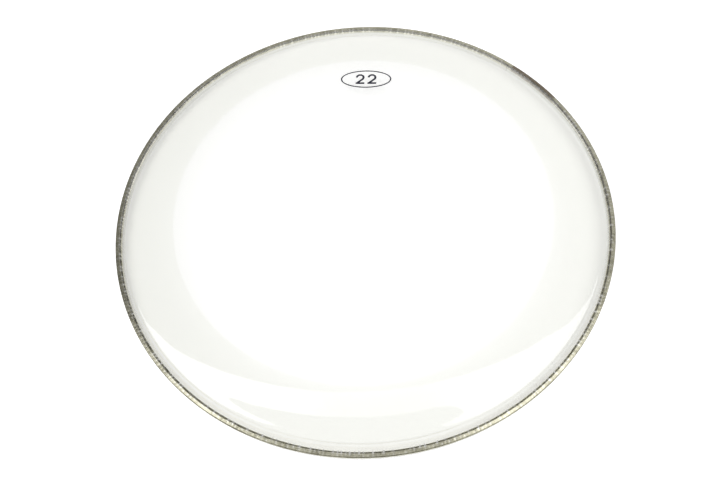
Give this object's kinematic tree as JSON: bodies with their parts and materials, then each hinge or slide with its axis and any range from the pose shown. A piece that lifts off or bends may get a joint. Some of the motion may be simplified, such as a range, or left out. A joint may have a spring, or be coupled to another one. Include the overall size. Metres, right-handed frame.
{
  "type": "drum head",
  "caption": "Round clear bass-drum head: a collared film over an underlay ring, locked with resin into a rolled aluminium hoop that drops over the shell.",
  "frame": {"origin": "middle of the hoop, on the plane of its foot", "axes": "+Z along the drum's axis, out of the playing face; +Y from the middle to the size mark"},
  "size_m": [0.575, 0.575, 0.0166],
  "materials": {
    "hoop_aluminium": "mill-finished rolled aluminium, slightly dull, with small press marks across the lip",
    "clear_film": "clear glossy polyester film",
    "clear_underlay": "clear glossy polyester film",
    "resin": "poured resin, dark amber, glossy",
    "mark_ink": "dark screen-printed ink"
  },
  "bodies": {
    "root": {"flesh_hoop": "hoop_aluminium", "batter_film": "clear_film", "underlay_ring": "clear_underlay", "locking_resin": "resin", "size_mark": "mark_ink"}
  },
  "joints": []
}
